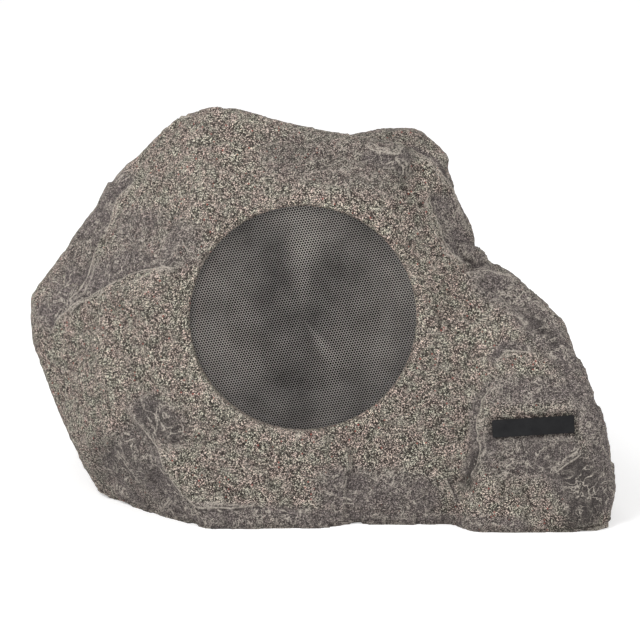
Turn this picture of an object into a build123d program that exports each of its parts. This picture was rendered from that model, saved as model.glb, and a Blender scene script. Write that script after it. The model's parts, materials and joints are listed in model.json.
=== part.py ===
from build123d import *
import os
from math import atan, cos, degrees, radians, sin

# Rock shaped garden speaker: a hewn, hollow stone shell with a loudspeaker behind its front face.
# Millimetres, +Z up, the front faces -Y, the origin is the middle of the footprint on the ground.

# Stone shell
shell_width = 421.0
shell_depth = 316.0
shell_height = 288.0
shell_wall = 6.0
edge_wear_radius = 18.0

# Front opening, grille and the collar that carries the loudspeaker
opening_diameter = 160.0
lip_depth = 5.0
lip_radius = 3.0
grille_diameter = 168.0
grille_thickness = 1.2
grille_side_clearance = 0.5
perforation_pitch = 15.0
perforation_size = 12.0
perforated_diameter = 150.0
perforation_turn = 10.5
grille_gasket_width = 7.0
collar_depth = 18.0
collar_diameter = 206.0

# Loudspeaker frame
frame_diameter = 194.0
frame_sheet = 2.0
frame_clearance = 1.5
frame_mouth_radius = 68.0
frame_depth = 46.0
frame_bottom_radius = 50.0
frame_eye_radius = 30.0
spider_ledge_radius = 43.0
spider_ledge_height = 4.0
window_inner_radius = 54.0
window_outer_radius = 64.0
window_count = 4
window_rib = 14.0
frame_screw_circle_diameter = 182.0
frame_screw_count = 4
frame_screw_length = 12.0
frame_screw_end_gap = 1.0

# Cone, surround, spider and coil
cone_radius = 58.5
cone_depth = 23.0
cone_sheet = 0.8
cone_lip = 4.0
former_radius = 20.0
former_wall = 0.8
former_length = 35.0
coil_wire = 0.9
coil_height = 12.0
dust_cap_radius = 24.0
dust_cap_rise = 5.0
glue_gap = 0.1
surround_outer_radius = 76.0
surround_sheet = 0.8
surround_rise = 4.5
spider_radius = 46.0
spider_sheet = 0.8
spider_pleat = 2.0

# Magnet system
top_plate_radius = 45.0
top_plate_thickness = 5.0
magnet_radius = 50.0
magnet_bore_radius = 26.0
magnet_thickness = 15.0
yoke_radius = 47.5
yoke_thickness = 6.0
coil_air_gap = 0.7

# Terminal board on the loudspeaker frame
tag_board_width = 26.0
tag_board_height = 12.0
tag_board_thickness = 1.6
tag_board_drop = 82.0
tag_spacing = 12.0
tag_width = 4.0
tag_thickness = 0.8
tag_length = 8.0

# Base flange, gasket and plate
flange_bottom = 11.0
flange_thickness = 6.0
plate_width = 236.0
plate_depth = 206.0
plate_corner = 30.0
plate_thickness = 5.0
plate_across = 8.0
plate_deep = 4.0
base_gasket_thickness = 2.0
base_gasket_width = 5.0
flange_overlap = 18.0
base_screw_inset = 6.5
base_screw_length = 12.0
base_screw_spacing = 150.0

# Screws, all of one size
screw_diameter = 4.0
screw_clearance = 0.05
screw_head_hex = 7.0
screw_head_height = 2.6

# Line transformer on the base plate
core_width = 48.0
core_height = 40.0
core_stack = 16.0
core_limb = 8.0
winding_clearance = 0.5
strap_width = 15.0
strap_thickness = 1.2
strap_clearance = 0.3
strap_foot = 13.0
transformer_across = 62.0
transformer_deep = 30.0

# Terminal block on the base plate
block_width = 38.0
block_wire_height = 4.5
block_depth = 17.0
block_height = 13.0
block_ways = 4
block_wire_hole = 3.4
block_screw_well = 5.0

# Twin lead
lead_width = 4.4
lead_thickness = 2.2
lead_flange_clearance = 10.0
lead_run = 22.0
lead_bend_radius = 9.0

# Cable gland in its recess in the back
gland_across = -60.0
gland_height = 46.0
gland_recess_diameter = 46.0
gland_recess_depth = 15.0
gland_hex = 22.0
gland_thread_radius = 8.0
gland_flange_thickness = 5.0
gland_spigot_length = 16.0
gland_nose_length = 8.0
gland_nose_radius = 7.5
gland_bore_radius = 5.0
gland_seal_pocket_radius = 6.0
gland_fit_clearance = 0.1
gland_locknut_hex = 24.0
gland_locknut_thickness = 5.0
gland_nut_hex = 21.0
gland_nut_gap = 0.8
gland_nut_lip = 2.0
gland_nut_mouth_radius = 4.4
cable_entry_radius = 3.5
seal_length = 6.0

# Plate in a shallow recess at the lower right
badge_width = 58.0
badge_height = 12.5
badge_corner = 1.5
badge_thickness = 2.0
badge_proud = 0.6
badge_clearance = 0.8
badge_across = -15.0
badge_up = 51.0
badge_turn = 3.5


def facet(across, deep, high, azimuth, tilt):
    """One hewn face: a point as shares of the shell's size, and where the face looks.

    Azimuth 0 looks to the front and 90 to the right. Tilt is how far it looks upwards.
    """
    level = cos(radians(tilt))
    outward = Vector(sin(radians(azimuth)) * level, -cos(radians(azimuth)) * level, sin(radians(tilt)))
    level_right = Vector(cos(radians(azimuth)), sin(radians(azimuth)), 0)
    point = Vector(across * shell_width / 2, deep * shell_depth / 2, high * shell_height)
    return Plane(point, x_dir=level_right, z_dir=outward)


def worn_edges(block):
    """Planes that take off a block's edges, each as deep as a rounding of the wear radius would."""
    planes = []
    bed = block.faces().sort_by(Axis.Z)[0]
    for edge in block.edges() - bed.edges():
        first, second = [face.normal_at() for face in block.faces() if edge in face.edges()]
        outward = (first + second).normalized()
        depth = edge_wear_radius * (1 / outward.dot(first) - 1)
        planes.append(Plane(edge.center() - outward * depth, z_dir=outward))
    return planes


def hewn_lobe(facets, inset=0.0):
    """A convex lobe of the stone: a block cut back to each face, with its edges worn unless it is set in."""
    with BuildPart() as lobe:
        on_ground = (Align.CENTER, Align.CENTER, Align.MIN)
        Box(2 * shell_width, 2 * shell_depth, 2 * shell_height, align=on_ground)
        for face in facets:
            split(bisect_by=face.offset(-inset), keep=Keep.BOTTOM)
        if not inset:
            for face in worn_edges(lobe):
                split(bisect_by=face, keep=Keep.BOTTOM)
    return lobe.part


def broken_flake(face, across, high, turn, depth, reach, length, wall=0.0):
    """What a flake took with it that broke off one face, grown by a wall to keep the hollow clear of it.

    The break starts at a ledge, runs out to the face again, and takes the side above the ledge when turn is 0.
    """
    side = across * shell_width / 2 - face.origin.X
    rise = high * shell_height - face.origin.Z
    deep = -(face.z_dir.X * side + face.z_dir.Z * rise) / face.z_dir.Y
    ledge = Plane(face.origin + Vector(side, deep, rise), x_dir=face.x_dir, z_dir=face.z_dir)
    slope = degrees(atan(depth / reach))
    ledge_foot = Plane(ledge.offset(-depth) * Rotation(0, 0, turn) * Rotation(slope, 0, 0))
    with BuildPart(ledge_foot.offset(-wall)) as flake:
        with Locations((0, -wall)):
            on_ledge = (Align.CENTER, Align.MIN, Align.MIN)
            Box(length + 2 * wall, reach + 2 * wall, reach, align=on_ledge)
    return flake.part


# Hewn faces of each lobe. Those with names also carry other pieces or have flakes broken off.
front_face = facet(-0.057, -0.81, 0.514, 0, 4)
badge_face = facet(0.784, -0.986, 0.087, 0, 5)
back_face = facet(0.0, 0.962, 0.278, 180, 6)
left_brow = facet(-0.57, -0.58, 0.743, -52, 32)
cheek_side = facet(-0.594, -0.797, 0.347, -34, 6)
right_brow = facet(0.713, -0.734, 0.49, 18, 38)
right_flank = facet(0.39, -0.633, 0.722, 42, 20)
back_left = facet(-0.665, 0.696, 0.382, -132, 14)
back_right = facet(0.5, 0.728, 0.382, 138, 16)
right_end = facet(0.903, 0.316, 0.208, 120, 12)

heart_facets = [
    front_face,
    back_face,
    facet(-0.14, -0.62, 0.896, -6, 46),
    facet(0.04, -0.35, 0.924, 147, 69),
    left_brow,
    facet(-0.656, -0.22, 0.826, -106, 38),
    facet(-0.98, -0.06, 0.486, -100, 18),
    facet(-1.0, 0.0, 0.41, -90, 0),
    facet(-0.884, -0.19, 0.174, -86, -22),
    facet(-0.76, -0.44, 0.017, -66, -26),
    facet(-0.618, -0.658, 0.208, -42, -8),
    facet(0.409, -0.253, 0.819, 102, 25),
    right_flank,
    facet(0.6, -0.127, 0.451, 95, 6),
    facet(-0.057, -0.892, 0.035, 0, -25),
    facet(0.0, 0.696, 0.625, 176, 32),
    back_left,
    back_right,
    facet(0.0, 1.0, 0.02, 180, 0),
]
cheek_facets = [
    facet(-0.356, -0.911, 0.139, 3, 9),
    cheek_side,
    facet(-0.75, -0.633, 0.382, -58, 0),
    facet(-0.451, -0.722, 0.66, -65, 45),
    facet(-0.618, -0.62, 0.007, -46, -22),
    facet(-0.874, -0.19, 0.174, -84, -22),
    facet(-0.975, 0.0, 0.41, -90, 0),
    facet(0.024, -0.899, 0.069, 22, 8),
    facet(-0.285, -0.253, 0.681, 0, 86),
    facet(-0.19, 0.0, 0.278, 180, 0),
    facet(0.214, -0.38, 0.208, 90, 10),
]
foot_facets = [
    badge_face,
    right_brow,
    facet(0.618, -0.316, 0.576, 115, 68),
    facet(0.746, -0.316, 0.497, 104, 45),
    facet(0.86, -0.38, 0.34, 100, 18),
    facet(0.971, -0.443, 0.174, 92, 10),
    facet(1.0, 0.0, 0.05, 90, 0),
    facet(0.505, -0.899, 0.191, -55, 8),
    facet(0.995, -0.865, 0.174, 45, 8),
    facet(0.713, 0.57, 0.208, 160, 14),
    right_end,
    facet(0.285, 0.0, 0.278, -90, 0),
]
horn_facets = [
    facet(0.209, -0.38, 0.9375, -140, 77),
    facet(0.285, -0.494, 0.91, 8, 32),
    facet(0.38, -0.538, 0.867, 42, 20),
    facet(0.366, -0.316, 0.92, 100, 42),
    facet(0.409, -0.253, 0.84, 102, 15),
    facet(0.285, 0.03, 0.868, 172, 45),
    facet(0.2, -0.2, 0.806, 0, -90),
    facet(0.024, -0.253, 0.868, -90, 0),
]
crown_facets = [
    facet(-0.565, -0.316, 0.896, -100, 36),
    facet(-0.485, -0.348, 0.958, -110, 54),
    facet(-0.37, -0.38, 0.9965, 180, 74),
    facet(-0.261, -0.348, 0.986, 125, 68),
    facet(-0.333, -0.462, 0.983, -4, 34),
    facet(-0.475, -0.475, 0.906, -52, 32),
    facet(-0.333, 0.19, 0.885, 175, 50),
    facet(-0.35, -0.4, 1.0, 0, 90),
    facet(-0.3, -0.2, 0.82, 0, -90),
    facet(-0.095, -0.316, 0.9375, 90, 10),
]
all_facets = [heart_facets, cheek_facets, foot_facets, horn_facets, crown_facets]
stone_lobes = [hewn_lobe(faces) for faces in all_facets]
hollow_lobes = [hewn_lobe(faces, shell_wall) for faces in all_facets]

# Flakes broken off: the face, the ledge's middle as shares of width and height, its turn, and lengths
flake_places = [
    (left_brow, -0.656, 0.592, 30, 5, 48, 98),
    (left_brow, -0.698, 0.71, 76, 3.5, 36, 90),
    (cheek_side, -0.589, 0.205, 133, 4, 45, 75),
    (right_brow, 0.651, 0.52, -51, 3.5, 28, 52),
    (right_flank, 0.43, 0.68, -60, 3.5, 34, 60),
    (back_face, 0.1, 0.36, 9, 4.5, 48, 250),
    (back_left, -0.62, 0.45, -24, 4.5, 46, 200),
    (back_right, 0.52, 0.4, 24, 4.5, 46, 200),
    (right_end, 0.88, 0.22, 15, 4, 40, 160),
]
flakes = [broken_flake(*place) for place in flake_places]
flake_backs = [broken_flake(*place, shell_wall) for place in flake_places]

# Levels of the base, from the ground up
flange_top = flange_bottom + flange_thickness
plate_top = flange_bottom - base_gasket_thickness
plate_bottom = plate_top - plate_thickness
hole_radius = screw_diameter / 2 + screw_clearance
base_screw_places = list(GridLocations(base_screw_spacing, plate_depth - 2 * base_screw_inset, 2, 2))


def base_level(height):
    """A level plane over the middle of the base plate."""
    return Plane((plate_across, plate_deep, height))


# Planes of the loudspeaker: across its axis at a depth behind the front face, and along it
section = Plane(front_face.origin, x_dir=front_face.x_dir, z_dir=-front_face.y_dir)
driver_axis = Axis(front_face.origin, front_face.z_dir)
mouth = -collar_depth
frame_screw_places = list(
    PolarLocations(frame_screw_circle_diameter / 2, frame_screw_count, start_angle=180 / frame_screw_count)
)


def facing_in(depth):
    """A plane across the loudspeaker's axis that looks into the shell."""
    return Plane(front_face.offset(-depth).origin, x_dir=front_face.x_dir, z_dir=-front_face.z_dir)


# Plane of the gland's seat, at the bottom of its recess in the back face
gland_plane = Plane(
    (gland_across, back_face.origin.Y - gland_recess_depth, gland_height), x_dir=(-1, 0, 0), z_dir=(0, 1, 0)
)

# Hollow of the shell above the base flange, less the collar and the gland's cup
with BuildPart() as hollow:
    for lobe in hollow_lobes:
        add(lobe)
    for back in flake_backs:
        add(back, mode=Mode.SUBTRACT)
    split(bisect_by=Plane.XY.offset(flange_top), keep=Keep.TOP)
    with BuildSketch(front_face):
        Circle(collar_diameter / 2)
    extrude(amount=-collar_depth, mode=Mode.SUBTRACT)
    with BuildSketch(front_face.offset(-collar_depth)):
        Circle(frame_diameter / 2 + frame_clearance)
    extrude(amount=-frame_depth)
    with BuildSketch(gland_plane.offset(-shell_wall)):
        Circle(gland_recess_diameter / 2 + shell_wall)
    extrude(amount=shell_depth, mode=Mode.SUBTRACT)

# Hollow under the flange, inside the skirt that stands on the ground
with BuildPart() as underside:
    for lobe in hollow_lobes:
        add(lobe)
    split(bisect_by=Plane.XY.offset(flange_bottom), keep=Keep.BOTTOM)

# Stone shell, one hollow casting with collar, flange, gland recess and badge recess
with BuildPart() as rock_shell:
    for lobe in stone_lobes:
        add(lobe)
    for flake in flakes:
        add(flake, mode=Mode.SUBTRACT)
    add(hollow.part, mode=Mode.SUBTRACT)
    add(underside.part, mode=Mode.SUBTRACT)
    with BuildSketch(base_level(flange_bottom)):
        RectangleRounded(
            plate_width - 2 * flange_overlap, plate_depth - 2 * flange_overlap, plate_corner - flange_overlap
        )
    extrude(amount=flange_thickness, mode=Mode.SUBTRACT)
    with BuildSketch(base_level(flange_bottom)):
        with Locations(*base_screw_places):
            Circle(hole_radius)
    extrude(amount=flange_thickness, mode=Mode.SUBTRACT)
    with BuildSketch(section):
        with BuildLine():
            mouth_flare = JernArc(
                (opening_diameter / 2, -lip_radius), (0, 1), lip_radius, -90
            )
            Polyline(
                mouth_flare @ 1,
                (opening_diameter / 2 + lip_radius, shell_depth),
                (0, shell_depth),
                (0, -lip_depth),
                (opening_diameter / 2, -lip_depth),
                mouth_flare @ 0,
            )
        make_face()
    revolve(axis=driver_axis, mode=Mode.SUBTRACT)
    with BuildSketch(front_face.offset(-lip_depth)):
        Circle(grille_diameter / 2 + grille_side_clearance)
    extrude(amount=-(collar_depth - lip_depth), mode=Mode.SUBTRACT)
    with BuildSketch(front_face.offset(-collar_depth)):
        with Locations(*frame_screw_places):
            Circle(hole_radius)
    extrude(amount=frame_screw_length - frame_sheet + frame_screw_end_gap, mode=Mode.SUBTRACT)
    with BuildSketch(gland_plane):
        Circle(gland_recess_diameter / 2)
    extrude(amount=shell_depth, mode=Mode.SUBTRACT)
    with BuildSketch(gland_plane):
        Circle(gland_thread_radius + gland_fit_clearance)
    extrude(amount=-shell_wall, mode=Mode.SUBTRACT)
    with BuildSketch(badge_face.offset(badge_proud - badge_thickness)):
        with Locations((badge_across, badge_up)):
            RectangleRounded(
                badge_width + 2 * badge_clearance,
                badge_height + 2 * badge_clearance,
                badge_corner + badge_clearance,
                rotation=badge_turn,
            )
    extrude(amount=shell_wall, mode=Mode.SUBTRACT)
rock_shell.part.label = "rock_shell"

# Plate in the badge recess, stuck to its floor
with BuildPart() as badge_plate:
    with BuildSketch(badge_face.offset(badge_proud - badge_thickness)):
        with Locations((badge_across, badge_up)):
            RectangleRounded(badge_width, badge_height, badge_corner, rotation=badge_turn)
    extrude(amount=badge_thickness)
badge_plate.part.label = "badge_plate"

# Perforated grille, a disc pressed against the back of the lip
perforation_rows = int(perforated_diameter / perforation_pitch)
perforation_places = []
for row in range(-perforation_rows, perforation_rows + 1):
    for column in range(-perforation_rows, perforation_rows + 1):
        place = Vector(column + row / 2, row * sin(radians(60))) * perforation_pitch
        if place.length < perforated_diameter / 2:
            perforation_places.append(place.rotate(Axis.Z, perforation_turn))
with BuildPart() as grille:
    with BuildSketch(front_face.offset(-lip_depth)):
        Circle(grille_diameter / 2)
        with Locations(*perforation_places):
            RegularPolygon(
                perforation_size / 2,
                6,
                major_radius=False,
                rotation=perforation_turn + 30,
                mode=Mode.SUBTRACT,
            )
    extrude(amount=-grille_thickness)
grille.part.label = "grille"

# Foam ring that holds the grille against the lip
with BuildPart() as grille_gasket:
    with BuildSketch(front_face.offset(-lip_depth - grille_thickness)):
        Circle(grille_diameter / 2)
        Circle(grille_diameter / 2 - grille_gasket_width, mode=Mode.SUBTRACT)
    extrude(amount=-(collar_depth - lip_depth - grille_thickness))
grille_gasket.part.label = "grille_gasket"

# Stamped loudspeaker frame with windows in its sloping wall and a ledge for the spider
frame_floor = mouth - frame_depth + frame_sheet
spider_level = frame_floor + spider_ledge_height
with BuildPart() as woofer_frame:
    with BuildSketch(section):
        with BuildLine():
            Polyline(
                (frame_mouth_radius, mouth),
                (frame_diameter / 2, mouth),
                (frame_diameter / 2, mouth - frame_sheet),
                (frame_mouth_radius + 1.5 * frame_sheet, mouth - frame_sheet),
                (frame_bottom_radius, mouth - frame_depth),
                (frame_eye_radius, mouth - frame_depth),
                (frame_eye_radius, frame_floor),
                (spider_ledge_radius, frame_floor),
                (spider_ledge_radius, spider_level),
                (frame_bottom_radius, spider_level),
                (frame_mouth_radius, mouth - 2 * frame_sheet),
                close=True,
            )
        make_face()
    revolve(axis=driver_axis)
    with BuildSketch(front_face.offset(-collar_depth - frame_sheet)):
        Circle(window_outer_radius)
        Circle(window_inner_radius, mode=Mode.SUBTRACT)
        with PolarLocations((window_outer_radius + window_inner_radius) / 2, window_count):
            Rectangle(2 * (window_outer_radius - window_inner_radius), window_rib, mode=Mode.SUBTRACT)
    extrude(amount=-frame_depth, mode=Mode.SUBTRACT)
    with BuildSketch(front_face.offset(-collar_depth)):
        with Locations(*frame_screw_places):
            Circle(hole_radius)
    extrude(amount=-frame_sheet, mode=Mode.SUBTRACT)
woofer_frame.part.label = "woofer_frame"


def hex_screws(plane, places, length):
    """Hexagon head screws whose heads stand on a plane and whose shanks go down behind it."""
    with BuildPart() as screws:
        with BuildSketch(plane):
            with Locations(*places):
                Circle(screw_diameter / 2)
        extrude(amount=-length)
        with BuildSketch(plane):
            with Locations(*places):
                RegularPolygon(screw_head_hex / 2, 6, major_radius=False)
        extrude(amount=screw_head_height)
    return screws.part


woofer_screws = hex_screws(facing_in(collar_depth + frame_sheet), frame_screw_places, frame_screw_length)
woofer_screws.label = "woofer_screws"

# Paper cone with a flat lip under the surround
cone_knee = cone_radius - cone_lip
cone_neck = former_radius + glue_gap
with BuildPart() as woofer_cone:
    with BuildSketch(section):
        with BuildLine():
            Polyline(
                (cone_radius, mouth),
                (cone_knee, mouth),
                (cone_neck, mouth - cone_depth),
                (cone_neck, mouth - cone_depth - 1.5 * cone_sheet),
                (cone_knee, mouth - cone_sheet),
                (cone_radius, mouth - cone_sheet),
                close=True,
            )
        make_face()
    revolve(axis=driver_axis)
woofer_cone.part.label = "woofer_cone"

# Dust cap glued to the face of the cone, a raised disc with a sloping rim
dust_cap_level = mouth - cone_depth * (cone_knee - dust_cap_radius) / (cone_knee - cone_neck) + glue_gap
dust_cap_top = dust_cap_level + dust_cap_rise
with BuildPart() as dust_cap:
    with BuildSketch(section):
        with BuildLine():
            Polyline(
                (0, dust_cap_top),
                (dust_cap_radius - dust_cap_rise, dust_cap_top),
                (dust_cap_radius, dust_cap_level),
                (dust_cap_radius - 2 * cone_sheet, dust_cap_level),
                (dust_cap_radius - dust_cap_rise - cone_sheet / 2, dust_cap_top - cone_sheet),
                (0, dust_cap_top - cone_sheet),
                close=True,
            )
        make_face()
    revolve(axis=driver_axis)
dust_cap.part.label = "dust_cap"


def driver_ring(inner_radius, outer_radius, front, length):
    """A ring or disc on the loudspeaker's axis, from a depth behind the front face."""
    with BuildPart() as ring:
        with BuildSketch(front_face.offset(-front)):
            Circle(outer_radius)
            if inner_radius:
                Circle(inner_radius, mode=Mode.SUBTRACT)
        extrude(amount=-length)
    return ring.part


# Voice coil on its former, centred in the air gap
gap_middle = collar_depth + frame_depth + top_plate_thickness / 2
coil_outer_radius = cone_neck + coil_wire
voice_coil_former = driver_ring(
    former_radius - former_wall, former_radius, collar_depth + cone_depth - 2 * cone_sheet, former_length
)
voice_coil_former.label = "voice_coil_former"
voice_coil = driver_ring(cone_neck, coil_outer_radius, gap_middle - coil_height / 2, coil_height)
voice_coil.label = "voice_coil"

# Rubber surround: an inner lip on the cone, a raised fold, and an outer lip on the frame
fold_middle = (frame_mouth_radius + cone_radius) / 2
with BuildPart() as cone_surround:
    with BuildSketch(section):
        with BuildLine():
            Polyline(
                (cone_knee + glue_gap, mouth),
                (cone_radius, mouth),
                (fold_middle, mouth + surround_rise),
                (frame_mouth_radius, mouth),
                (surround_outer_radius, mouth),
                (surround_outer_radius, mouth + surround_sheet),
                (frame_mouth_radius + surround_sheet, mouth + surround_sheet),
                (fold_middle, mouth + surround_rise + 2 * surround_sheet),
                (cone_radius - surround_sheet, mouth + surround_sheet),
                (cone_knee + glue_gap, mouth + surround_sheet),
                close=True,
            )
        make_face()
    revolve(axis=driver_axis)
cone_surround.part.label = "cone_surround"

# Pleated cloth spider from the coil former to its ledge on the frame
pleat_middle = (cone_neck + spider_ledge_radius) / 2
spider_top = spider_level + spider_sheet
with BuildPart() as spider:
    with BuildSketch(section):
        with BuildLine():
            Polyline(
                (cone_neck, spider_level),
                (pleat_middle, spider_level + spider_pleat),
                (spider_ledge_radius, spider_level),
                (spider_radius, spider_level),
                (spider_radius, spider_top),
                (spider_ledge_radius, spider_top),
                (pleat_middle, spider_top + spider_pleat),
                (cone_neck, spider_top),
                close=True,
            )
        make_face()
    revolve(axis=driver_axis)
spider.part.label = "spider"

# Magnet system behind the frame: top plate, ferrite ring, and yoke with its pole
top_plate_front = collar_depth + frame_depth
magnet_front = top_plate_front + top_plate_thickness
yoke_front = magnet_front + magnet_thickness
top_plate = driver_ring(
    coil_outer_radius + coil_air_gap, top_plate_radius, top_plate_front, top_plate_thickness
)
top_plate.label = "top_plate"
ferrite_magnet = driver_ring(magnet_bore_radius, magnet_radius, magnet_front, magnet_thickness)
ferrite_magnet.label = "ferrite_magnet"
with BuildPart() as pole_yoke:
    with BuildSketch(front_face.offset(-yoke_front)):
        Circle(yoke_radius)
    extrude(amount=-yoke_thickness)
    with BuildSketch(front_face.offset(-yoke_front)):
        Circle(former_radius - former_wall - coil_air_gap)
    extrude(amount=yoke_front - top_plate_front)
pole_yoke.part.label = "pole_yoke"

# Terminal board with two tags, riveted to the back of the frame's rim
tag_places = [(-tag_spacing / 2, tag_board_drop), (tag_spacing / 2, tag_board_drop)]
with BuildPart() as terminal_board:
    with BuildSketch(facing_in(collar_depth + frame_sheet)):
        with Locations((0, tag_board_drop)):
            Rectangle(tag_board_width, tag_board_height)
    extrude(amount=tag_board_thickness)
terminal_board.part.label = "terminal_board"
tag_foot = facing_in(collar_depth + frame_sheet + tag_board_thickness)
with BuildPart() as terminal_tags:
    with BuildSketch(tag_foot):
        with Locations(*tag_places):
            Rectangle(tag_width, tag_thickness)
    extrude(amount=tag_length)
terminal_tags.part.label = "terminal_tags"

# Base plate, which also carries the transformer and the terminal block
with BuildPart() as base_plate:
    with BuildSketch(base_level(plate_bottom)):
        RectangleRounded(plate_width, plate_depth, plate_corner)
    extrude(amount=plate_thickness)
    with BuildSketch(base_level(plate_top)):
        with Locations(*base_screw_places):
            Circle(hole_radius)
    extrude(amount=-plate_thickness, mode=Mode.SUBTRACT)
base_plate.part.label = "base_plate"

# Rubber gasket on the flange's underside, inside the line of screws
gasket_reach = flange_overlap - base_gasket_width
with BuildPart() as base_gasket:
    with BuildSketch(base_level(plate_top)):
        RectangleRounded(
            plate_width - 2 * gasket_reach, plate_depth - 2 * gasket_reach, plate_corner - gasket_reach
        )
        RectangleRounded(
            plate_width - 2 * flange_overlap,
            plate_depth - 2 * flange_overlap,
            plate_corner - flange_overlap,
            mode=Mode.SUBTRACT,
        )
    extrude(amount=base_gasket_thickness)
base_gasket.part.label = "base_gasket"

# Screws from below through the plate into the flange
plate_underside = Plane(base_level(plate_bottom).origin, x_dir=(1, 0, 0), z_dir=(0, 0, -1))
base_screws = hex_screws(plate_underside, base_screw_places, base_screw_length)
base_screws.label = "base_screws"

# Line transformer standing on the base plate: laminated core, winding, and a strap welded to the plate
transformer_front = Plane(
    (transformer_across, transformer_deep, plate_top), x_dir=(1, 0, 0), z_dir=(0, -1, 0)
)
core_window_width = core_width / 2 - 2 * core_limb
core_window_height = core_height - 2 * core_limb
with BuildPart() as transformer_core:
    with BuildSketch(transformer_front):
        with Locations((0, core_height / 2)):
            Rectangle(core_width, core_height)
            with GridLocations(2 * core_limb + core_window_width, 0, 2, 1):
                Rectangle(core_window_width, core_window_height, mode=Mode.SUBTRACT)
    extrude(amount=core_stack / 2, both=True)
transformer_core.part.label = "transformer_core"

winding_inner_width = 2 * (core_limb + winding_clearance)
winding_inner_depth = core_stack + 2 * winding_clearance
winding_wall = core_window_width - 2 * winding_clearance
with BuildPart() as transformer_winding:
    with BuildSketch(
        Plane((transformer_across, transformer_deep, plate_top + core_limb + winding_clearance))
    ):
        RectangleRounded(
            winding_inner_width + 2 * winding_wall, winding_inner_depth + 2 * winding_wall, winding_wall / 2
        )
        Rectangle(winding_inner_width, winding_inner_depth, mode=Mode.SUBTRACT)
    extrude(amount=core_window_height - 2 * winding_clearance)
transformer_winding.part.label = "transformer_winding"

strap_reach = core_width / 2 + strap_clearance + strap_thickness
strap_height = core_height + strap_clearance + strap_thickness
with BuildPart() as transformer_strap:
    with BuildSketch(transformer_front):
        with Locations((0, strap_height / 2)):
            Rectangle(2 * strap_reach, strap_height)
        with Locations((0, strap_thickness / 2)):
            Rectangle(2 * (strap_reach + strap_foot), strap_thickness)
        with Locations((0, (strap_height - strap_thickness) / 2)):
            Rectangle(core_width + 2 * strap_clearance, strap_height - strap_thickness, mode=Mode.SUBTRACT)
    extrude(amount=strap_width / 2, both=True)
transformer_strap.part.label = "transformer_strap"

# Terminal block under the loudspeaker: wire holes right through and screw wells from above
block_pitch = block_width / block_ways
lead_drop = plate_deep - plate_depth / 2 + flange_overlap + lead_flange_clearance
block_foot = Plane((front_face.origin.X, lead_drop + lead_run + block_depth / 2, plate_top))
with BuildPart() as terminal_block:
    with BuildSketch(block_foot):
        Rectangle(block_width, block_depth)
    extrude(amount=block_height)
    with BuildSketch(block_foot.offset(block_height)):
        with GridLocations(block_pitch, 0, block_ways, 1):
            Rectangle(block_screw_well, block_screw_well)
    extrude(amount=block_wire_height - block_height, mode=Mode.SUBTRACT)
    with BuildSketch(Plane(block_foot.origin, x_dir=(1, 0, 0), z_dir=(0, -1, 0))):
        with Locations((0, block_wire_height)):
            with GridLocations(block_pitch, 0, block_ways, 1):
                Rectangle(block_wire_hole, block_wire_hole)
    extrude(amount=block_depth / 2, both=True, mode=Mode.SUBTRACT)
terminal_block.part.label = "terminal_block"

# Flat twin lead from between the tags down to the front of the terminal block
lead_start = tag_foot.from_local_coords((0, tag_board_drop, 0))
lead_out = lead_start + tag_foot.z_dir * ((lead_drop - lead_start.Y) / tag_foot.z_dir.Y)
lead_end = Vector(lead_start.X, lead_drop + lead_run, plate_top + block_wire_height)
with BuildPart() as twin_lead:
    with BuildLine() as lead_route:
        FilletPolyline(
            lead_start,
            lead_out,
            Vector(lead_start.X, lead_drop, lead_end.Z),
            lead_end,
            radius=lead_bend_radius,
        )
    with BuildSketch(Plane(lead_start, x_dir=(1, 0, 0), z_dir=tag_foot.z_dir)):
        Rectangle(lead_width, lead_thickness)
    sweep(path=lead_route.wires()[0])
twin_lead.part.label = "twin_lead"

# Cable gland: body with spigot, lock nut inside, rubber seal and clamping nut outside
nose_end = gland_flange_thickness + gland_nose_length
with BuildPart() as gland_body:
    with BuildSketch(gland_plane):
        RegularPolygon(gland_hex / 2, 6, major_radius=False)
    extrude(amount=gland_flange_thickness)
    with BuildSketch(gland_plane):
        Circle(gland_nose_radius)
    extrude(amount=nose_end)
    with BuildSketch(gland_plane):
        Circle(gland_thread_radius)
    extrude(amount=-gland_spigot_length)
    with BuildSketch(gland_plane.offset(-gland_spigot_length)):
        Circle(gland_bore_radius)
    extrude(amount=gland_spigot_length + nose_end, mode=Mode.SUBTRACT)
    with BuildSketch(gland_plane.offset(nose_end - seal_length)):
        Circle(gland_seal_pocket_radius)
    extrude(amount=seal_length, mode=Mode.SUBTRACT)
gland_body.part.label = "gland_body"

with BuildPart() as gland_locknut:
    with BuildSketch(gland_plane.offset(-shell_wall)):
        RegularPolygon(gland_locknut_hex / 2, 6, major_radius=False)
        Circle(gland_thread_radius + gland_fit_clearance, mode=Mode.SUBTRACT)
    extrude(amount=-gland_locknut_thickness)
gland_locknut.part.label = "gland_locknut"

with BuildPart() as gland_seal:
    with BuildSketch(gland_plane.offset(nose_end - seal_length)):
        Circle(gland_seal_pocket_radius - gland_fit_clearance)
        Circle(cable_entry_radius, mode=Mode.SUBTRACT)
    extrude(amount=seal_length)
gland_seal.part.label = "gland_seal"

with BuildPart() as gland_nut:
    with BuildSketch(gland_plane.offset(gland_flange_thickness + gland_nut_gap)):
        RegularPolygon(gland_nut_hex / 2, 6, major_radius=False)
    extrude(amount=gland_nose_length - gland_nut_gap + gland_nut_lip)
    with BuildSketch(gland_plane.offset(gland_flange_thickness + gland_nut_gap)):
        Circle(gland_nose_radius + gland_fit_clearance)
    extrude(amount=gland_nose_length - gland_nut_gap, mode=Mode.SUBTRACT)
    with BuildSketch(gland_plane.offset(nose_end)):
        Circle(gland_nut_mouth_radius)
    extrude(amount=gland_nut_lip, mode=Mode.SUBTRACT)
gland_nut.part.label = "gland_nut"

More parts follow.
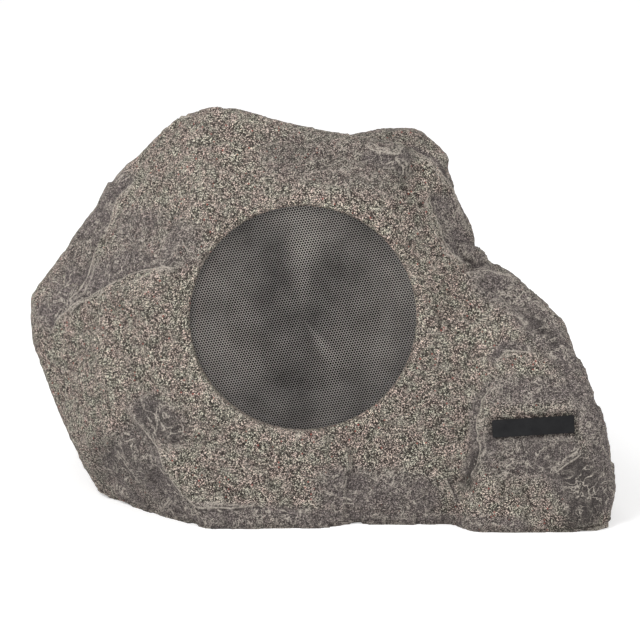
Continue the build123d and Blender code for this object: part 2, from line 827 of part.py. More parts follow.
os.makedirs("parts", exist_ok=True)
pieces = [
    rock_shell.part,
    badge_plate.part,
    grille.part,
    grille_gasket.part,
    woofer_frame.part,
    woofer_screws,
    woofer_cone.part,
    dust_cap.part,
    voice_coil_former,
    voice_coil,
    cone_surround.part,
    spider.part,
    top_plate,
    ferrite_magnet,
    pole_yoke.part,
    terminal_board.part,
    terminal_tags.part,
    base_plate.part,
    base_gasket.part,
    base_screws,
    transformer_core.part,
    transformer_winding.part,
    transformer_strap.part,
    terminal_block.part,
    twin_lead.part,
    gland_body.part,
    gland_locknut.part,
    gland_seal.part,
    gland_nut.part,
]
for piece in pieces:
    export_step(piece, f"parts/{piece.label}.step")
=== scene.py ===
import json
import math

import bmesh
import bpy
import numpy as np
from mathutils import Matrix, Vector, noise
from mathutils.bvhtree import BVHTree


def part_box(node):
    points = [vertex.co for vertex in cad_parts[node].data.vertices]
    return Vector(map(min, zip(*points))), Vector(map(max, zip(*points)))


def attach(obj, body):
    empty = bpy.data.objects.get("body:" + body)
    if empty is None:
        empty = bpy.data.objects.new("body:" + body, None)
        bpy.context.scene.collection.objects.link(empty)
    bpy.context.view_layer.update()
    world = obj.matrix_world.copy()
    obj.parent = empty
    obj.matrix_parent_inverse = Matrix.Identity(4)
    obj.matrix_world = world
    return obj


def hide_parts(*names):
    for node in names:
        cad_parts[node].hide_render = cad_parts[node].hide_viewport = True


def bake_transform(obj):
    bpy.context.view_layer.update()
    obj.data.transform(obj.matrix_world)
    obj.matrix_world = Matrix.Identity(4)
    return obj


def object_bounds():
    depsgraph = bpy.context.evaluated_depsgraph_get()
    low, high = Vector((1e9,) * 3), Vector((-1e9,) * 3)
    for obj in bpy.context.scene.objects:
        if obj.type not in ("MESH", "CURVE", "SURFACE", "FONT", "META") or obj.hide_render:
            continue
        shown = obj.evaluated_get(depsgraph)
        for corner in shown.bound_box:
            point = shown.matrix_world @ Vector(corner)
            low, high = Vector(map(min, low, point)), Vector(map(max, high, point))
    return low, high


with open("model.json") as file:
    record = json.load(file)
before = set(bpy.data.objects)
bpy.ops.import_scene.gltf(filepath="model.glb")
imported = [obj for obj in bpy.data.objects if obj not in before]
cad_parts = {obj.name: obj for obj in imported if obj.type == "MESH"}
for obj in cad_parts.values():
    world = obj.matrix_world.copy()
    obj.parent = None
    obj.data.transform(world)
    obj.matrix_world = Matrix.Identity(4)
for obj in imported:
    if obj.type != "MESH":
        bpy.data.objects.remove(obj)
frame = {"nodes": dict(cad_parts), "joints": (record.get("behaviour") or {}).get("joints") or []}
cad_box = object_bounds()
nodes = frame["nodes"]
scene = bpy.context.scene
scene.view_settings.view_transform = "Standard"

# Camera: straight in front of the grille, a little above it, from across a small studio.
# The long lens keeps the stone's near and far sides at almost the same scale.
camera_elevation = math.radians(13)
camera_distance = 3.2
camera_target = Vector((0, 0, 0.1178))
to_camera = Vector((0, -math.cos(camera_elevation), math.sin(camera_elevation)))
camera = bpy.data.objects.new("camera", bpy.data.cameras.new("camera"))
camera.data.lens = 245
camera.data.sensor_width = 36
camera.location = camera_target + camera_distance * to_camera
camera.rotation_euler = (math.radians(90) - camera_elevation, 0, 0)
scene.collection.objects.link(camera)
scene.camera = camera

# Stone shell: a hollow glass fibre casting from a mould of hewn rock, sprayed with drops of stone colours
# and dry brushed with pale paint on its ridges. It stands on its rim, and its front face has a round
# opening with a rolled lip. The outer skin is modelled on the casting's own faces, then weathered.
skin_step = 0.00225
wall = 0.006
lip_radius = 0.003
lip_depth = 0.005
opening_radius = 0.080
grille_sheet = 0.0012
gland_hole_reach = 0.012
ground = 0.00001
sound_axis = Vector(frame["joints"][0]["axis"]).normalized()
grille_centre = sum(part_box("grille"), Vector()) / 2
opening_centre = grille_centre + sound_axis * grille_sheet / 2
gland_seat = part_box("gland_locknut")[1].y + wall
gland_centre = sum(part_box("gland_seal"), Vector()) / 2


def opening_place(point):
    """How far a point is from the sound axis, and how far in front of the grille's sheet."""
    away = point - opening_centre
    ahead = away.dot(sound_axis)
    return (away - ahead * sound_axis).length, ahead


def under_the_skin(face):
    """Whether a face of the casting belongs to its rim or its inside, and not to its outer skin."""
    middle = face.calc_center_median()
    radius, ahead = opening_place(middle)
    in_opening = radius < opening_radius + 0.9 * lip_radius and -4 * lip_depth < ahead < 2 * lip_depth
    in_gland_hole = 0 < middle.y < gland_seat - 0.0001 and (middle - gland_centre).xz.length < gland_hole_reach
    return in_opening or in_gland_hole or middle.z < ground


casting = bmesh.new()
casting.from_mesh(nodes["rock_shell"].data)
bmesh.ops.remove_doubles(casting, verts=casting.verts, dist=0.000001)
casting.normal_update()
growing = [max(casting.faces, key=lambda face: face.calc_center_median().z)]
outer_faces = set(growing)
while growing:
    for edge in growing.pop().edges:
        for face in edge.link_faces:
            if face not in outer_faces and not under_the_skin(face):
                outer_faces.add(face)
                growing.append(face)
inside = casting.copy()
outer_order = {face.index for face in outer_faces}
skin_or_lip = []
for face in inside.faces:
    radius, ahead = opening_place(face.calc_center_median())
    on_lip = radius < opening_radius + lip_radius and 0.0001 < ahead < 2 * lip_depth
    if face.index in outer_order or on_lip or face.calc_center_median().z < ground:
        skin_or_lip.append(face)
bmesh.ops.delete(inside, geom=skin_or_lip, context="FACES")
bmesh.ops.delete(casting, geom=[face for face in casting.faces if face not in outer_faces], context="FACES")
bmesh.ops.holes_fill(casting, edges=[edge for edge in casting.edges if edge.is_boundary], sides=0)
bmesh.ops.triangulate(casting, faces=casting.faces)
skin_start = bpy.data.meshes.new("skin_start")
casting.to_mesh(skin_start)
cast_faces = BVHTree.FromBMesh(casting)
casting.free()
skin_object = bpy.data.objects.new("skin_start", skin_start)
scene.collection.objects.link(skin_object)
even_grid = skin_object.modifiers.new("even_grid", "REMESH")
even_grid.mode = "VOXEL"
even_grid.voxel_size = skin_step
skin = bpy.data.meshes.new_from_object(skin_object.evaluated_get(bpy.context.evaluated_depsgraph_get()))
bpy.data.objects.remove(skin_object)

places = np.empty(len(skin.vertices) * 3)
skin.vertices.foreach_get("co", places)
places = places.reshape(-1, 3)
links = np.empty(len(skin.edges) * 2, np.int64)
skin.edges.foreach_get("vertices", links)
links = links.reshape(-1, 2)
link_count = np.bincount(links.ravel(), minlength=len(places))


def neighbour_mean(values):
    """Mean of each point's neighbours on the skin, for one value or a place at each point."""
    total = np.zeros_like(values)
    np.add.at(total, links[:, 0], values[links[:, 1]])
    np.add.at(total, links[:, 1], values[links[:, 0]])
    return (total.T / link_count).T


def relaxed(values, rounds):
    """Values evened out over the skin."""
    for _ in range(rounds):
        values = 0.5 * values + 0.5 * neighbour_mean(values)
    return values


def smooth_step(low, high, values):
    """0 below low, 1 above high, and a soft rise between them."""
    share = np.clip((values - low) / (high - low), 0, 1)
    return share * share * (3 - 2 * share)


places = relaxed(places, 4)
places = np.array([cast_faces.find_nearest(Vector(place))[0] for place in places])
places = relaxed(places, 4)
seen_across = places[:, 0] * 1000
seen_up = (places[:, 2] * math.cos(camera_elevation) + places[:, 1] * math.sin(camera_elevation)) * 1000


def near_line(line):
    """Distance, side and share of the length at which each point passes a line seen from the front."""
    nearest = np.full(len(places), 1e9)
    side = np.zeros(len(places))
    along = np.zeros(len(places))
    run = 0.0
    for (ax, ay), (bx, by) in zip(line, line[1:]):
        span = math.dist((ax, ay), (bx, by))
        ux, uy = (bx - ax) / span, (by - ay) / span
        t = np.clip((seen_across - ax) * ux + (seen_up - ay) * uy, 0, span)
        dx, dy = seen_across - ax - t * ux, seen_up - ay - t * uy
        distance = np.hypot(dx, dy)
        closer = distance < nearest
        nearest = np.where(closer, distance, nearest)
        side = np.where(closer, np.sign(ux * dy - uy * dx), side)
        along = np.where(closer, run + t, along)
        run += span
    return nearest, side, along / run


def skin_normals():
    """Moves the skin's points to their places and gives the direction each one looks in."""
    skin.vertices.foreach_set("co", places.ravel())
    skin.update()
    looks = np.empty(len(skin.vertices) * 3, np.float32)
    skin.vertex_normals.foreach_get("vector", looks)
    return looks.reshape(-1, 3).astype(float)


# Valley between two lobes that the mould maker filled, seen from the front: a run of points in millimetres
filled_valley = [(66, 190), (72, 165), (82, 130), (90, 95), (98, 66)]
filled_reach = 26
to_even = relaxed(places, 200) - places
outward = np.einsum("ij,ij->i", skin_normals(), to_even) > 0
in_valley = 1 - smooth_step(0.4 * filled_reach, 1.2 * filled_reach, near_line(filled_valley)[0])
places += to_even * (in_valley * outward * (places[:, 1] < -0.03))[:, None]
places += (relaxed(places, 6) - places) * in_valley[:, None]
normals = skin_normals()
facing = normals @ np.array(to_camera)

# Ledges and edges of the stone as they are seen from the front: each line runs through points given by
# their distance across and up the picture, in millimetres. The side on the left of the line's run stands out
# by a height, or the right side where it is negative, and the height fades over a reach. Then come the
# softness of the edge and how far the low side is smooth.
left_ledge = [(-196, 100), (-189, 116), (-176, 126), (-159, 135), (-136, 146), (-111, 152), (-92, 153)]
low_ledge = [(-139, 51), (-125, 38), (-114, 25), (-108, 5), (-98, -10), (-86, -18), (-60, -18), (-33, -15)]
ledges = [
    (left_ledge, -2.5, 30, 1.2, 24),
    (low_ledge, 2.2, 22, 1.2, 60),
    ([(113, 25), (111, 38), (114, 58), (123, 72)], -3.0, 24, 1.4, 6),
    ([(105, 1), (114, 22), (112, 34)], -3.5, 14, 1.0, 9),
    ([(105, 150), (120, 154), (134, 148), (143, 142)], -2.5, 22, 1.2, 12),
    ([(124, 133), (139, 121), (150, 110)], -2.2, 18, 1.0, 12),
    ([(121, 82), (131, 94), (143, 92), (152, 91)], -2.0, 14, 1.0, 8),
    ([(77, 208), (78, 188), (91, 163), (105, 150)], -1.4, 20, 1.4, 26),
    ([(60, 241), (77, 229), (94, 208), (101, 190), (105, 180)], -1.6, 14, 1.0, 4),
    ([(-125, 220), (-143, 203), (-153, 178), (-166, 155), (-173, 138), (-190, 120)], 1.8, 18, 1.2, 30),
    ([(29, 238), (41, 232), (52, 230), (62, 238)], 2.6, 14, 1.0, 12),
    ([(50, 228), (57, 222), (58, 214)], 2.0, 8, 1.0, 4),
    ([(-146, 20), (-136, 6), (-128, -4)], 1.4, 9, 0.9, 0),
    ([(89, 4), (94, -8), (98, -16)], -1.6, 9, 0.9, 4),
    ([(164, 6), (176, 14), (186, 22)], 1.2, 8, 0.9, 0),
]
lift = np.zeros(len(places))
shade_under_ledge = np.zeros(len(places))
patch = np.zeros(len(places))
off_ridge = 20.0
ridge = np.full(len(places), off_ridge)
for line, height, reach, softness, smooth_reach in ledges:
    nearest, side, along = near_line(line)
    fade = smooth_step(0, 0.12, along) * smooth_step(0, 0.12, 1 - along) * smooth_step(0.1, 0.4, facing)
    signed = nearest * side * math.copysign(1, height)
    rise = smooth_step(-softness, softness, signed) * np.exp(-np.maximum(signed, 0) / reach)
    lift += abs(height) / 1000 * rise * fade
    # Painted shade along the foot of each ledge
    shade_under_ledge = np.maximum(shade_under_ledge, np.exp(-((signed + 2.0) / 1.8) ** 2) * fade)
    faded = signed + np.copysign(off_ridge * (1 - fade), signed)
    ridge = np.where(np.abs(faded) < np.abs(ridge), faded, ridge)
    if smooth_reach:
        low_side = smooth_step(1.0, -1.0, signed) * (1 - smooth_step(0.5, 1.2, -signed / smooth_reach)) * fade
        patch = np.maximum(patch, low_side)

# Weathering of the skin: slow swells, flakes knocked off at many angles, and fine roughness
swell = 0.0014
flake_size = 0.034
flake_tilt = 0.07
chip_size = 0.011
chip_tilt = 0.048
roughness_height = 0.0005
flake_seed = 3
noise.seed_set(flake_seed)


def flaked(point, size):
    """Height of a surface broken into flakes of about a size, each with a tilt of its own."""
    bent = point / size + 0.45 * noise.noise_vector(point / size * 1.7)
    centre = noise.voronoi(bent)[1][0]
    return noise.cell_vector(centre * 91.7).dot(bent - centre) * size


weathering = np.empty(len(places))
for i, place in enumerate(places):
    point = Vector(place)
    slow = noise.fractal(point * 17, 1.0, 2.0, 3)
    flake = flaked(point, flake_size)
    chip = flaked(point + Vector((3, 5, 7)), chip_size)
    grain = noise.fractal(point * 190, 0.8, 2.1, 3)
    chipped = 0.35 + 0.65 * max(0.0, min(1.0, 0.5 + 1.6 * noise.noise(point * 24 + Vector((9, 2, 4)))))
    rough = roughness_height * grain * (0.5 + chipped)
    weathering[i] = swell * slow + flake_tilt * flake + chip_tilt * chip * chipped + rough

away = places - np.array(opening_centre)
ahead = away @ np.array(sound_axis)
from_axis = np.linalg.norm(away - ahead[:, None] * np.array(sound_axis), axis=1)
near_front = smooth_step(-0.03, -0.015, ahead)
calm = 1 - near_front * (1 - smooth_step(opening_radius + 0.002, opening_radius + 0.014, from_axis))
from_gland = np.linalg.norm(places[:, [0, 2]] - np.array(gland_centre)[[0, 2]], axis=1)
calm *= np.where(places[:, 1] > 0.1, smooth_step(0.024, 0.034, from_gland), 1)

# Where the stone seen from the front swells or falls back: the place across and up, a radius and a push, in
# millimetres. The last two sink the slit beside the badge.
nudges = [
    (-104, 263, 18, -5.0),
    (-146, 216, 18, 3.0),
    (-185, 147, 24, -5.0),
    (-178, 57, 30, 2.0),
    (-159, -7, 15, -4.0),
    (205, -28, 18, -5.0),
    (67, 254, 16, -3.0),
    (85, 229, 6, 4.0),
    (115, 167, 7, -3.5),
    (109, 13, 5, -3.0),
    (104, 3, 5, -3.0),
]
for across, up, radius, push in nudges:
    from_nudge = np.hypot(seen_across - across, seen_up - up) / radius
    lift += push / 1000 * np.exp(-from_nudge ** 2)
rim_roll = 0.008
rolled_in = np.clip(1 - places[:, 2] / rim_roll, 0, 1)
lift -= rim_roll * 0.5 * (1 - np.sqrt(1 - 0.95 * rolled_in ** 2)) * (normals[:, 2] > -0.7)
weathered = places + normals * ((weathering + lift) * calm)[:, None]

# Bed of the badge plate: the skin is flat around the plate and falls back under it
badge_points = np.array([vert.co for vert in nodes["badge_plate"].data.vertices])
badge_axes = np.linalg.eigh(np.cov(badge_points.T))[1]
badge_axes *= np.sign(badge_axes[[1, 2, 0], [0, 1, 2]]) * np.array([-1, 1, 1])
badge_middle = (badge_points.min(axis=0) + badge_points.max(axis=0)) / 2
badge_half = np.ptp((badge_points - badge_middle) @ badge_axes, axis=0) / 2
from_badge = (weathered - badge_middle) @ badge_axes
outside_badge = np.maximum(np.abs(from_badge[:, 2]) - badge_half[2], np.abs(from_badge[:, 1]) - badge_half[1])
bed = -0.0018 + 0.0022 * smooth_step(0.0012, 0.0045, outside_badge)
bed_hold = (1 - smooth_step(0.004, 0.011, outside_badge)) * (np.abs(from_badge[:, 0]) < 0.015)
weathered += np.outer((bed - from_badge[:, 0]) * bed_hold, badge_axes[:, 0])
weathered = np.clip(weathered, np.array(cad_box[0]), np.array(cad_box[1]))
skin.vertices.foreach_set("co", weathered.ravel())
skin.update()

convex = np.einsum("ij,ij->i", normals, weathered - neighbour_mean(weathered)) / skin_step
worn = relaxed(np.clip(convex * 7 - 0.12, -1, 1), 1)
worn = np.clip(worn, 0, 1)

# Painted shade in the stone's slits and corners and on faces the lamps light less, seen from the front: a run
# of points, a radius in millimetres and a strength
painted_shade_spots = [
    ([(113, 20), (108, 10), (102, -2)], 5.0, 1.0),
    ([(180, 8), (190, -14), (184, -28)], 14.0, 0.95),
    ([(152, 116), (166, 98)], 4.5, 0.8),
    ([(56, 224), (60, 216)], 4.0, 0.8),
    ([(-178, 121), (-168, 127)], 2.5, 0.8),
    ([(-122, 50), (-104, 36)], 12.0, 0.69),
    ([(-150, 22), (-128, 8)], 18.0, 0.52),
    ([(-25, 232), (45, 222)], 18.0, 0.38),
    ([(40, 246), (66, 240)], 14.0, 0.48),
    ([(128, 30), (168, 22)], 16.0, 0.46),
    ([(10, -4), (70, -10)], 15.0, 0.18),
]
# Painted shade: the skin is darkened in its hollows and at the foot of each ledge, then along the listed slits,
# corners and dim faces
painted_shade = np.maximum(0.7 * relaxed(np.clip(-convex * 6 - 0.12, 0, 1), 1), 0.35 * shade_under_ledge)
for line, radius, strength in painted_shade_spots:
    spot = strength * smooth_step(1.6 * radius, 0.3 * radius, near_line(line)[0])
    painted_shade = np.maximum(painted_shade, spot * (facing > 0.05))

# Smoother, purple grey patches seen from the front, given in the same way with a strength
patches = [
    ([(-100, -20), (0, -26), (60, -28), (140, -32)], 7, 1.0),
    ([(10, -4), (70, -10)], 15, 1.0),
    ([(-122, 50), (-106, 38)], 12, 1.0),
    ([(-128, 178), (-100, 168)], 17, 0.8),
    ([(-25, 232), (45, 222)], 18, 0.45),
    ([(116, 146), (142, 126), (164, 100), (184, 66), (200, 30), (202, -10)], 12, 1.0),
    ([(128, 24), (168, 18), (188, -10)], 17, 1.0),
    ([(124, 64), (170, 66)], 9, 1.0),
]
for line, radius, strength in patches:
    spot = strength * smooth_step(1.5 * radius, 0.6 * radius, near_line(line)[0])
    patch = np.maximum(patch, spot * smooth_step(0, 0.2, facing))
behind = 1 - smooth_step(-0.1, 0.2, facing)
scattered = np.array([noise.noise(Vector(place) * 19 + Vector((1, 8, 3))) for place in places])
patch = np.maximum(patch, behind * smooth_step(0.05, 0.4, scattered))

stone = bmesh.new()
stone.from_mesh(skin)
stone.normal_update()
worn_layer = stone.verts.layers.float.new("worn")
# The next value holds painted shade in hollows, slits and corners
painted_shade_layer = stone.verts.layers.float.new("painted_shade")
patch_layer = stone.verts.layers.float.new("patch")
ridge_layer = stone.verts.layers.float.new("ridge")
for vert in stone.verts:
    vert[worn_layer] = worn[vert.index]
    vert[painted_shade_layer] = painted_shade[vert.index]
    vert[patch_layer] = patch[vert.index]
    vert[ridge_layer] = ridge[vert.index]
caps = []
for face in stone.faces:
    middle = face.calc_center_median()
    radius, forward = opening_place(middle)
    on_ground = face.normal.z < -0.7 and middle.z < 0.0015
    if on_ground or (radius < opening_radius + lip_radius + 0.5 * skin_step and middle.y < 0):
        caps.append(face)
bmesh.ops.delete(stone, geom=caps, context="FACES")
lip_edges = [edge for edge in stone.edges if edge.is_boundary and edge.verts[0].co.z > 0.02]
rim_edges = [edge for edge in stone.edges if edge.is_boundary and edge.verts[0].co.z < 0.02]
for vert in {vert for edge in rim_edges for vert in edge.verts}:
    vert.co.z = 0
under_rim = bmesh.ops.extrude_edge_only(stone, edges=rim_edges)["geom"]
for vert in [part for part in under_rim if isinstance(part, bmesh.types.BMVert)]:
    side = next(edge.other_vert(vert) for edge in vert.link_edges if edge.other_vert(vert) not in under_rim)
    inward = Vector((-side.normal.x, -side.normal.y, 0)).normalized()
    vert.co += inward * 0.8 * wall


def set_on_opening(vert, radius, forward):
    """Moves a point to a distance from the sound axis and from the grille, on its own side of the axis."""
    along = (vert.co - opening_centre).dot(sound_axis)
    outward = (vert.co - opening_centre - along * sound_axis).normalized()
    vert.co = opening_centre + outward * radius + sound_axis * forward


lip_ring = {vert for edge in lip_edges for vert in edge.verts}
lip_height = {vert: max(opening_place(vert.co)[1], lip_radius + 0.0006) for vert in lip_ring}
for _ in range(20):
    lip_total = dict.fromkeys(lip_ring, 0.0)
    for edge in lip_edges:
        for vert in edge.verts:
            lip_total[vert] += lip_height[edge.other_vert(vert)] / 2
    lip_height = {vert: (lip_height[vert] + lip_total[vert]) / 2 for vert in lip_ring}
for vert in lip_ring:
    set_on_opening(vert, opening_radius + lip_radius, lip_height[vert])
lip_steps = 6
for step in range(1, lip_steps + 2):
    rolled = bmesh.ops.extrude_edge_only(stone, edges=lip_edges)["geom"]
    lip_edges = [part for part in rolled if isinstance(part, bmesh.types.BMEdge)]
    before, after = [math.radians(90) * min(turn, lip_steps) / lip_steps for turn in (step - 1, step)]
    for vert in [part for part in rolled if isinstance(part, bmesh.types.BMVert)]:
        forward = opening_place(vert.co)[1] - lip_radius * (math.cos(before) - math.cos(after))
        if step > lip_steps:
            forward = -grille_sheet
        set_on_opening(vert, opening_radius + lip_radius * (1 - math.sin(after)), forward)
bmesh.ops.recalc_face_normals(stone, faces=stone.faces)
inside_mesh = bpy.data.meshes.new("casting_inside")
inside.to_mesh(inside_mesh)
inside.free()
skin_count = len(stone.verts)
stone.from_mesh(inside_mesh)
for vert in list(stone.verts)[skin_count:]:
    vert[ridge_layer] = off_ridge


def new_piece(name, bm, node, smooth_below=0):
    """A piece that stands for a CAD node, smooth where its faces meet at less than an angle in degrees."""
    mesh = bpy.data.meshes.new(name)
    bm.to_mesh(mesh)
    bm.free()
    if smooth_below:
        mesh.polygons.foreach_set("use_smooth", np.ones(len(mesh.polygons), bool))
        mesh.set_sharp_from_angle(angle=math.radians(smooth_below))
    piece = bpy.data.objects.new(name, mesh)
    scene.collection.objects.link(piece)
    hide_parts(node)
    return piece


stone_shell = new_piece("stone_shell", stone, "rock_shell", smooth_below=55)
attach(stone_shell, "enclosure")


def new_material(name):
    """A node material with its tree and its Principled shader."""
    material = bpy.data.materials.new(name)
    material.use_nodes = True
    return material, material.node_tree, material.node_tree.nodes["Principled BSDF"]


def add_node(tree, kind, **values):
    """A shader node with its inputs set by name; a socket given as a value is linked."""
    node = tree.nodes.new(kind)
    for name, value in values.items():
        socket = node.inputs[int(name[1:])] if name[0] == "_" else node.inputs[name.replace("_", " ")]
        if isinstance(value, bpy.types.NodeSocket):
            tree.links.new(value, socket)
        else:
            socket.default_value = value
    return node


def object_place(tree):
    """Places on the object itself, in metres."""
    return add_node(tree, "ShaderNodeTexCoord").outputs["Object"]


def ramp(tree, value, *stops):
    """A colour ramp through stops of a position and a grey level or colour."""
    node = add_node(tree, "ShaderNodeValToRGB", Fac=value)
    node.color_ramp.elements.remove(node.color_ramp.elements[1])
    for number, (position, colour) in enumerate(stops):
        element = node.color_ramp.elements[0] if number == 0 else node.color_ramp.elements.new(position)
        element.position = position
        element.color = (colour,) * 3 + (1,) if isinstance(colour, (int, float)) else (*colour, 1)
    return node.outputs["Color"]


def mix_colour(tree, factor, first, second):
    """One colour laid over another by a mask."""
    node = add_node(tree, "ShaderNodeMix", _0=factor)
    node.data_type = "RGBA"
    for socket, value in ((node.inputs[6], first), (node.inputs[7], second)):
        if isinstance(value, bpy.types.NodeSocket):
            tree.links.new(value, socket)
        else:
            socket.default_value = (*value, 1)
    return node.outputs[2]


def maths(tree, operation, first, second=0.0):
    """One arithmetic step on two values."""
    node = add_node(tree, "ShaderNodeMath", _0=first, _1=second)
    node.operation = operation
    return node.outputs["Value"]


def vector_maths(tree, operation, first, second):
    """One step on two colours or places, with its node's outputs."""
    node = add_node(tree, "ShaderNodeVectorMath", _0=first, _1=second)
    node.operation = operation
    return node.outputs


def raise_grain(tree, shader, height, strength, distance):
    """Fine relief in a material's shading."""
    bump = add_node(tree, "ShaderNodeBump", Strength=strength, Distance=distance, Height=height)
    tree.links.new(bump.outputs["Normal"], shader.inputs["Normal"])


stone_material, tree, shader = new_material("moulded_stone")
brushed_colour = (0.5, 0.45, 0.39)
fleck_colour = (0.34, 0.09, 0.07)
# Near black for the painted shade
painted_shade_colour = (0.035, 0.03, 0.028)
drop_wobble = 0.00037
place_on_stone = object_place(tree)
wobble = add_node(tree, "ShaderNodeTexNoise", Vector=place_on_stone, Scale=2250, Detail=1)
wobble_shift = vector_maths(tree, "MULTIPLY", wobble.outputs["Color"], (drop_wobble,) * 3)["Vector"]
wobbly = vector_maths(tree, "ADD", place_on_stone, wobble_shift)["Vector"]
drops = add_node(tree, "ShaderNodeTexVoronoi", Vector=wobbly, Scale=1800)
drop_level = add_node(tree, "ShaderNodeSeparateColor", Color=drops.outputs["Color"]).outputs["Red"]
tan_drops = ramp(
    tree,
    drop_level,
    (0.0, (0.016, 0.013, 0.011)),
    (0.46, (0.04, 0.033, 0.029)),
    (0.6, (0.13, 0.11, 0.094)),
    (0.75, (0.3, 0.258, 0.22)),
    (0.86, (0.68, 0.6, 0.51)),
    (0.98, (0.97, 0.87, 0.75)),
)
grey_drops = ramp(
    tree,
    drop_level,
    (0.0, (0.029, 0.024, 0.023)),
    (0.5, (0.085, 0.071, 0.068)),
    (0.78, (0.2, 0.17, 0.16)),
    (1.0, (0.48, 0.41, 0.38)),
)
tints = add_node(tree, "ShaderNodeTexNoise", Vector=place_on_stone, Scale=130, Detail=2)
drop_tint = ramp(tree, tints.outputs["Fac"], (0.38, (1.05, 0.96, 0.97)), (0.62, (0.95, 1.02, 0.97)))
tinted = vector_maths(tree, "MULTIPLY", tan_drops, drop_tint)["Vector"]
clouds = add_node(tree, "ShaderNodeTexNoise", Vector=place_on_stone, Scale=30, Detail=4, Roughness=0.6)
flecks = add_node(tree, "ShaderNodeTexVoronoi", Vector=place_on_stone, Scale=480)
fleck_level = add_node(tree, "ShaderNodeSeparateColor", Color=flecks.outputs["Color"]).outputs["Red"]
squiggles = add_node(tree, "ShaderNodeTexNoise", Vector=place_on_stone, Scale=85, Detail=3, Roughness=0.6)
squiggles.inputs["Distortion"].default_value = 0.6
from_squiggle = maths(tree, "ABSOLUTE", maths(tree, "SUBTRACT", squiggles.outputs["Fac"], 0.5))
strokes = add_node(tree, "ShaderNodeTexNoise", Vector=place_on_stone, Scale=62, Detail=2, Roughness=0.5)
strokes.noise_dimensions = "4D"
strokes.inputs["W"].default_value = 3.3


def attribute(tree, name):
    """A value painted on the mesh."""
    node = add_node(tree, "ShaderNodeAttribute")
    node.attribute_name = name
    return node.outputs["Fac"]


patch_break = ramp(tree, clouds.outputs["Fac"], (0.36, 0.55), (0.5, 1))
smooth_mask = maths(tree, "MULTIPLY", attribute(tree, "patch"), patch_break)
worn_break = ramp(tree, drop_level, (0.25, 0.1), (0.6, 1))
ridge_grain = ramp(tree, drop_level, (0.15, 0.3), (0.5, 1))
worn_mask = maths(tree, "MULTIPLY", attribute(tree, "worn"), worn_break)
vein_places = ramp(tree, strokes.outputs["Fac"], (0.43, 0), (0.51, 1))
vein_reach = maths(tree, "ADD", maths(tree, "MULTIPLY", attribute(tree, "patch"), 0.7), 0.3)
vein_line = ramp(tree, from_squiggle, (0.008, 1), (0.024, 0))
vein_mask = maths(tree, "MULTIPLY", maths(tree, "MULTIPLY", vein_line, vein_places), vein_reach)
ridge_place = attribute(tree, "ridge")
ridge_wander = maths(tree, "MULTIPLY", maths(tree, "SUBTRACT", squiggles.outputs["Fac"], 0.5), 9.0)
ridge_masks = []
for wander_share, line_place in ((0.5, 0.4), (1.0, 3.2)):
    wandering = maths(tree, "ADD", ridge_place, maths(tree, "MULTIPLY", ridge_wander, wander_share))
    from_ridge = maths(tree, "ABSOLUTE", maths(tree, "SUBTRACT", wandering, line_place))
    ridge_masks.append(ramp(tree, maths(tree, "MULTIPLY", from_ridge, 0.1), (0.035, 1), (0.085, 0)))
ridge_broken = ramp(tree, strokes.outputs["Fac"], (0.32, 0.45), (0.46, 1))
second_broken = ramp(tree, clouds.outputs["Fac"], (0.47, 0), (0.55, 0.8))
ridge_mask = maths(tree, "MULTIPLY", ridge_masks[0], ridge_broken)
ridge_mask = maths(tree, "MAXIMUM", ridge_mask, maths(tree, "MULTIPLY", ridge_masks[1], second_broken))
vein_mask = maths(tree, "MULTIPLY", maths(tree, "MAXIMUM", vein_mask, ridge_mask), ridge_grain)
fleck_dot = ramp(tree, flecks.outputs["Distance"], (0.26, 1), (0.36, 0))
fleck_mask = maths(tree, "MULTIPLY", ramp(tree, fleck_level, (0.955, 0), (0.965, 1)), fleck_dot)
fleck_mask = maths(tree, "MULTIPLY", fleck_mask, maths(tree, "SUBTRACT", 1.0, smooth_mask))
colour = mix_colour(tree, smooth_mask, tinted, grey_drops)
colour = mix_colour(tree, fleck_mask, colour, fleck_colour)
# Painted shade: the colour falls towards near black where the shade value is high
colour = mix_colour(tree, maths(tree, "MULTIPLY", attribute(tree, "painted_shade"), 0.8), colour, painted_shade_colour)
colour = mix_colour(tree, vein_mask, colour, brushed_colour)
colour = mix_colour(tree, maths(tree, "MULTIPLY", worn_mask, 0.75), colour, brushed_colour)
tree.links.new(colour, shader.inputs["Base Color"])
shader.inputs["Roughness"].default_value = 0.86
shader.inputs["Specular IOR Level"].default_value = 0.3
grain_height = maths(tree, "ADD", drop_level, maths(tree, "MULTIPLY", vein_mask, 0.8))
raise_grain(tree, shader, grain_height, 0.7, 0.0004)
stone_shell.data.materials.append(stone_material)

# Grille: a disc of thin steel sheet, punched with fine holes in staggered rows and powder coated in dark grey.
# It lies against the back of the opening's lip, held by a foam ring, and is a little wavy from handling.
hole_pitch = 0.00188
hole_web = 0.00028
row_gap = hole_pitch * math.sin(math.radians(60))
grille_radius = (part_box("grille")[1].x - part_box("grille")[0].x) / 2
rim_width = 0.0022
lattice_turn = math.radians(10.5)
wave_height = 0.0005
punch_depth = 0.0007
doublings = 7
